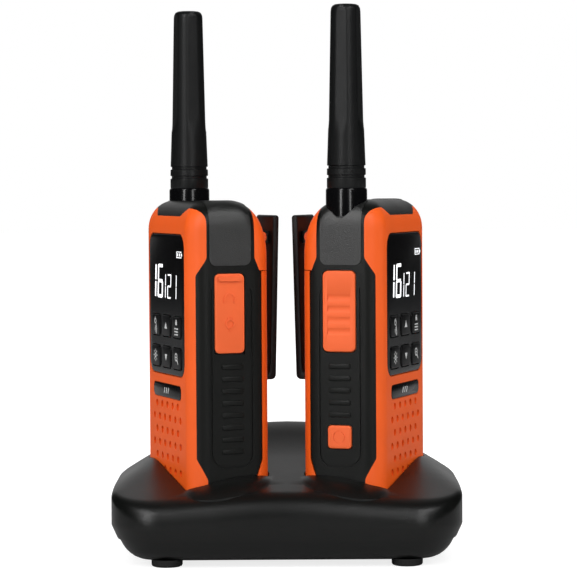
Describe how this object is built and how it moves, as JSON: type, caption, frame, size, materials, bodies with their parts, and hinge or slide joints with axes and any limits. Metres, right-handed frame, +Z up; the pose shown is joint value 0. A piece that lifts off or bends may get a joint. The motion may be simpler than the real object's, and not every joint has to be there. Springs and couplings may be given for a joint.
{
  "type": "two way radio",
  "caption": "Handheld radios with keypads, push-to-talk buttons, stub antennas and belt clips, standing back to back in their shared charging dock.",
  "frame": {"origin": "centre of the dock's footprint, on the table under its feet", "axes": "+Z up, the dock's front towards -Y, its width along X"},
  "size_m": [0.1264, 0.084, 0.201],
  "materials": {
    "orange_shell": "satin orange shell",
    "black_grip": "satin black moulding",
    "gloss_black": "gloss black window",
    "lcd_glass": "display panel",
    "circuit_board": "green board",
    "speaker_steel": "speaker frame",
    "orange_rubber": "soft orange rubber",
    "socket_plastic": "socket body",
    "antenna_rubber": "soft black rubber",
    "black_plastic": "black moulding",
    "steel": "plain steel",
    "battery_wrap": "grey shrink wrap",
    "gold_contact": "plated contact",
    "key_rubber": "black key",
    "dock_plastic": "satin black dock",
    "foot_rubber": "foot rubber",
    "socket_steel": "plated steel"
  },
  "bodies": {
    "dock": {"dock_top_shell": "dock_plastic", "dock_base": "dock_plastic", "dock_feet": "foot_rubber", "dock_contact_pins": "gold_contact", "dock_board": "circuit_board", "dock_screws": "steel", "dock_power_socket": "socket_steel"},
    "left_radio": {"left_front_case": "orange_shell", "left_rear_case": "orange_shell", "left_side_frame": "black_grip", "left_display_window": "gloss_black", "left_lcd_module": "lcd_glass", "left_main_board": "circuit_board", "left_speaker": "speaker_steel", "left_headset_jack": "socket_plastic", "left_name_plate": "gloss_black", "left_antenna_whip": "antenna_rubber", "left_antenna_collar": "gloss_black", "left_clip_pin": "steel", "left_battery_pack": "battery_wrap", "left_charge_contacts": "gold_contact", "left_case_screws": "steel"},
    "left_battery_door": {"left_battery_door": "orange_shell"},
    "left_ptt_button": {"left_ptt_button": "orange_rubber"},
    "left_alarm_button": {"left_alarm_button": "orange_rubber"},
    "left_jack_cover": {"left_jack_cover": "orange_rubber"},
    "left_belt_clip": {"left_belt_clip": "black_plastic"},
    "left_call_key": {"left_call_key": "key_rubber"},
    "left_up_key": {"left_up_key": "key_rubber"},
    "left_menu_key": {"left_menu_key": "key_rubber"},
    "left_lamp_key": {"left_lamp_key": "key_rubber"},
    "left_down_key": {"left_down_key": "key_rubber"},
    "left_scan_key": {"left_scan_key": "key_rubber"},
    "right_radio": {"right_front_case": "orange_shell", "right_rear_case": "orange_shell", "right_side_frame": "black_grip", "right_display_window": "gloss_black", "right_lcd_module": "lcd_glass", "right_main_board": "circuit_board", "right_speaker": "speaker_steel", "right_headset_jack": "socket_plastic", "right_name_plate": "gloss_black", "right_antenna_whip": "antenna_rubber", "right_antenna_collar": "gloss_black", "right_clip_pin": "steel", "right_battery_pack": "battery_wrap", "right_charge_contacts": "gold_contact", "right_case_screws": "steel"},
    "right_battery_door": {"right_battery_door": "orange_shell"},
    "right_ptt_button": {"right_ptt_button": "orange_rubber"},
    "right_alarm_button": {"right_alarm_button": "orange_rubber"},
    "right_jack_cover": {"right_jack_cover": "orange_rubber"},
    "right_belt_clip": {"right_belt_clip": "black_plastic"},
    "right_call_key": {"right_call_key": "key_rubber"},
    "right_up_key": {"right_up_key": "key_rubber"},
    "right_menu_key": {"right_menu_key": "key_rubber"},
    "right_lamp_key": {"right_lamp_key": "key_rubber"},
    "right_down_key": {"right_down_key": "key_rubber"},
    "right_scan_key": {"right_scan_key": "key_rubber"}
  },
  "joints": [
    {"name": "left_radio_lift", "type": "slide", "parent": "dock", "child": "left_radio", "axis": [0, 0, 1], "range_m": [0, 0.045]},
    {"name": "left_call_key_press", "type": "slide", "parent": "left_radio", "child": "left_call_key", "axis": [0.9426, 0.3338, 0], "range_m": [0, 0.0006], "stiffness_N_per_m": 900},
    {"name": "left_up_key_press", "type": "slide", "parent": "left_radio", "child": "left_up_key", "axis": [0.9426, 0.3338, 0], "range_m": [0, 0.0006], "stiffness_N_per_m": 900},
    {"name": "left_menu_key_press", "type": "slide", "parent": "left_radio", "child": "left_menu_key", "axis": [0.9426, 0.3338, 0], "range_m": [0, 0.0006], "stiffness_N_per_m": 900},
    {"name": "left_lamp_key_press", "type": "slide", "parent": "left_radio", "child": "left_lamp_key", "axis": [0.9426, 0.3338, 0], "range_m": [0, 0.0006], "stiffness_N_per_m": 900},
    {"name": "left_down_key_press", "type": "slide", "parent": "left_radio", "child": "left_down_key", "axis": [0.9426, 0.3338, 0], "range_m": [0, 0.0006], "stiffness_N_per_m": 900},
    {"name": "left_scan_key_press", "type": "slide", "parent": "left_radio", "child": "left_scan_key", "axis": [0.9426, 0.3338, 0], "range_m": [0, 0.0006], "stiffness_N_per_m": 900},
    {"name": "left_ptt_press", "type": "slide", "parent": "left_radio", "child": "left_ptt_button", "axis": [0.3338, -0.9426, 0], "range_m": [0, 0.001], "stiffness_N_per_m": 1500},
    {"name": "left_alarm_press", "type": "slide", "parent": "left_radio", "child": "left_alarm_button", "axis": [0.3338, -0.9426, 0], "range_m": [0, 0.0007], "stiffness_N_per_m": 1200},
    {"name": "left_cover_hinge", "type": "hinge", "parent": "left_radio", "child": "left_jack_cover", "pos_m": [-0.01957, -0.02663, 0.07665], "axis": [0.9426, 0.3338, 0], "range_deg": [0, 100]},
    {"name": "left_clip_hinge", "type": "hinge", "parent": "left_radio", "child": "left_belt_clip", "pos_m": [-0.01147, 0.00621, 0.117], "axis": [0.3338, -0.9426, 0], "range_deg": [0, 3.8], "stiffness_Nm_per_rad": 0.6, "springref_deg": -11.46},
    {"name": "left_door_slide", "type": "slide", "parent": "left_radio", "child": "left_battery_door", "axis": [0, 0, -1], "range_m": [0, 0.006]},
    {"name": "right_radio_lift", "type": "slide", "parent": "dock", "child": "right_radio", "axis": [0, 0, 1], "range_m": [0, 0.045]},
    {"name": "right_call_key_press", "type": "slide", "parent": "right_radio", "child": "right_call_key", "axis": [-0.9426, 0.3338, 0], "range_m": [0, 0.0006], "stiffness_N_per_m": 900},
    {"name": "right_up_key_press", "type": "slide", "parent": "right_radio", "child": "right_up_key", "axis": [-0.9426, 0.3338, 0], "range_m": [0, 0.0006], "stiffness_N_per_m": 900},
    {"name": "right_menu_key_press", "type": "slide", "parent": "right_radio", "child": "right_menu_key", "axis": [-0.9426, 0.3338, 0], "range_m": [0, 0.0006], "stiffness_N_per_m": 900},
    {"name": "right_lamp_key_press", "type": "slide", "parent": "right_radio", "child": "right_lamp_key", "axis": [-0.9426, 0.3338, 0], "range_m": [0, 0.0006], "stiffness_N_per_m": 900},
    {"name": "right_down_key_press", "type": "slide", "parent": "right_radio", "child": "right_down_key", "axis": [-0.9426, 0.3338, 0], "range_m": [0, 0.0006], "stiffness_N_per_m": 900},
    {"name": "right_scan_key_press", "type": "slide", "parent": "right_radio", "child": "right_scan_key", "axis": [-0.9426, 0.3338, 0], "range_m": [0, 0.0006], "stiffness_N_per_m": 900},
    {"name": "right_ptt_press", "type": "slide", "parent": "right_radio", "child": "right_ptt_button", "axis": [0.3338, 0.9426, 0], "range_m": [0, 0.001], "stiffness_N_per_m": 1500},
    {"name": "right_alarm_press", "type": "slide", "parent": "right_radio", "child": "right_alarm_button", "axis": [0.3338, 0.9426, 0], "range_m": [0, 0.0007], "stiffness_N_per_m": 1200},
    {"name": "right_cover_hinge", "type": "hinge", "parent": "right_radio", "child": "right_jack_cover", "pos_m": [0.03843, 0.02663, 0.07665], "axis": [-0.9426, 0.3338, 0], "range_deg": [0, 100]},
    {"name": "right_clip_hinge", "type": "hinge", "parent": "right_radio", "child": "right_belt_clip", "pos_m": [0.01147, 0.00621, 0.117], "axis": [0.3338, 0.9426, 0], "range_deg": [0, 3.8], "stiffness_Nm_per_rad": 0.6, "springref_deg": -11.46},
    {"name": "right_door_slide", "type": "slide", "parent": "right_radio", "child": "right_battery_door", "axis": [0, 0, -1], "range_m": [0, 0.006]}
  ]
}
